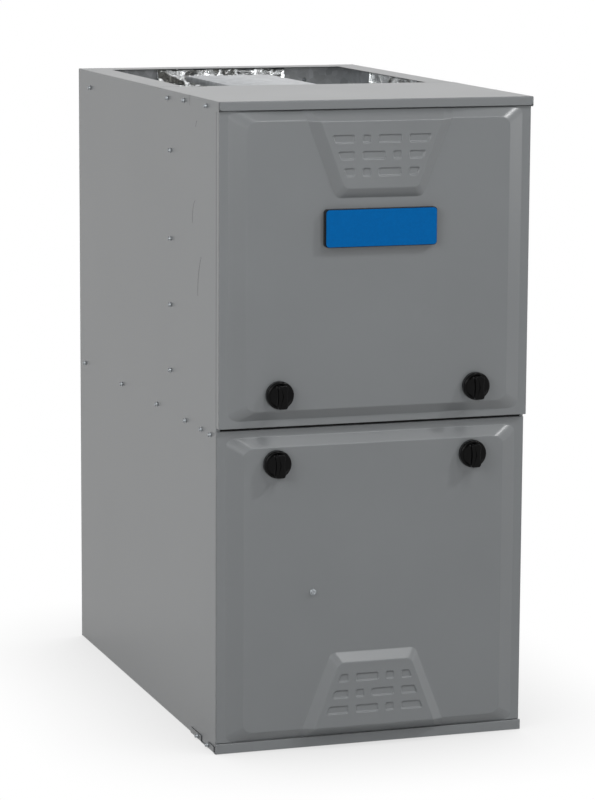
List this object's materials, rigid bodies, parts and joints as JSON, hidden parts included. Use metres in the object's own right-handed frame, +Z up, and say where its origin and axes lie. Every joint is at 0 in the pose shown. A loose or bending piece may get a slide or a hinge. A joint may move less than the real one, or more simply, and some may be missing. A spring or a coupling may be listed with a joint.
{
  "type": "forced air gas furnace",
  "caption": "Upright sheet-metal gas furnace with an upper and a lower pressed door, quarter-turn knobs, and an open supply-air outlet in its top.",
  "frame": {"origin": "on the floor, under the middle of the furnace's footprint, which runs from the upper knobs' faces to the back panel", "axes": "+Z up; the doors face -Y; +X is to the right of somebody who faces the doors"},
  "size_m": [0.4472, 0.76, 0.889],
  "materials": {
    "cabinet_paint": "satin grey enamel",
    "galvanised_steel": "satin",
    "aluminised_steel": "satin",
    "stainless_steel": "satin",
    "foil_blanket": "shiny aluminium foil on glass wool",
    "black_plastic": "semi-gloss",
    "blue_plastic": "semi-gloss",
    "red_plastic": "semi-gloss",
    "cast_aluminium": "satin",
    "zinc_plate": "bright",
    "circuit_board": "matte",
    "pvc": "matte",
    "ceramic": "matte",
    "dark_steel": "satin black paint"
  },
  "bodies": {
    "cabinet": {"left_side_panel": "cabinet_paint", "right_side_panel": "cabinet_paint", "back_panel": "cabinet_paint", "top_deck": "cabinet_paint", "base_rail": "cabinet_paint", "centre_rail": "galvanised_steel", "blower_deck": "galvanised_steel", "vestibule_panel": "galvanised_steel", "back_insulation": "foil_blanket", "left_insulation": "foil_blanket", "right_insulation": "foil_blanket", "top_baffle": "galvanised_steel", "heat_exchanger_tube_1": "aluminised_steel", "heat_exchanger_tube_2": "aluminised_steel", "heat_exchanger_tube_3": "aluminised_steel", "heat_exchanger_tube_4": "aluminised_steel", "burner_1": "aluminised_steel", "burner_2": "aluminised_steel", "burner_3": "aluminised_steel", "burner_4": "aluminised_steel", "transition_box": "aluminised_steel", "secondary_coil": "stainless_steel", "collector_box": "black_plastic", "burner_box": "aluminised_steel", "gas_manifold": "dark_steel", "gas_valve": "cast_aluminium", "hot_surface_igniter": "ceramic", "flame_sensor": "ceramic", "inducer_housing": "dark_steel", "inducer_motor": "dark_steel", "vent_elbow": "pvc", "pressure_switch": "black_plastic", "condensate_trap": "black_plastic", "blower_housing": "galvanised_steel", "blower_motor": "cast_aluminium", "motor_bracket": "galvanised_steel", "control_mount_plate": "galvanised_steel", "control_board": "circuit_board", "transformer": "dark_steel", "junction_box": "galvanised_steel", "door_switch_body": "black_plastic"},
    "upper_door": {"upper_door": "cabinet_paint", "upper_door_insulation": "foil_blanket", "nameplate_carrier": "black_plastic", "nameplate_face": "blue_plastic"},
    "lower_door": {"lower_door": "cabinet_paint", "lower_door_insulation": "foil_blanket", "lower_door_screw": "zinc_plate"},
    "upper_left_knob": {"upper_left_knob": "black_plastic", "upper_left_latch_finger": "zinc_plate"},
    "upper_right_knob": {"upper_right_knob": "black_plastic", "upper_right_latch_finger": "zinc_plate"},
    "lower_left_knob": {"lower_left_knob": "black_plastic", "lower_left_latch_finger": "zinc_plate"},
    "lower_right_knob": {"lower_right_knob": "black_plastic", "lower_right_latch_finger": "zinc_plate"},
    "blower_wheel": {"blower_wheel": "galvanised_steel"},
    "inducer_wheel": {"inducer_wheel": "stainless_steel"},
    "gas_valve_switch": {"gas_valve_switch": "red_plastic"},
    "door_switch_plunger": {"door_switch_plunger": "black_plastic"}
  },
  "joints": [
    {"name": "upper_door_off", "type": "slide", "parent": "cabinet", "child": "upper_door", "axis": [0, -1, 0], "range_m": [0, 0.3]},
    {"name": "lower_door_off", "type": "slide", "parent": "cabinet", "child": "lower_door", "axis": [0, -1, 0], "range_m": [0, 0.3]},
    {"name": "upper_left_knob_turn", "type": "hinge", "parent": "upper_door", "child": "upper_left_knob", "pos_m": [-0.141, -0.36, 0.496], "axis": [0, -1, 0], "range_deg": [0, 90]},
    {"name": "upper_right_knob_turn", "type": "hinge", "parent": "upper_door", "child": "upper_right_knob", "pos_m": [0.141, -0.36, 0.496], "axis": [0, -1, 0], "range_deg": [0, 90]},
    {"name": "lower_left_knob_turn", "type": "hinge", "parent": "lower_door", "child": "lower_left_knob", "pos_m": [-0.141, -0.351, 0.4005], "axis": [0, -1, 0], "range_deg": [0, 90]},
    {"name": "lower_right_knob_turn", "type": "hinge", "parent": "lower_door", "child": "lower_right_knob", "pos_m": [0.141, -0.351, 0.4005], "axis": [0, -1, 0], "range_deg": [0, 90]},
    {"name": "blower_spin", "type": "hinge", "parent": "cabinet", "child": "blower_wheel", "pos_m": [0, 0.09, 0.225], "axis": [1, 0, 0], "continuous": true},
    {"name": "inducer_spin", "type": "hinge", "parent": "cabinet", "child": "inducer_wheel", "pos_m": [0.04, -0.148, 0.636], "axis": [0, 1, 0], "continuous": true},
    {"name": "gas_valve_switch_slide", "type": "slide", "parent": "cabinet", "child": "gas_valve_switch", "axis": [1, 0, 0], "range_m": [0, 0.006]},
    {"name": "door_switch_press", "type": "slide", "parent": "cabinet", "child": "door_switch_plunger", "axis": [0, 1, 0], "range_m": [0, 0.004], "stiffness_N_per_m": 300, "springref_m": -0.002}
  ]
}
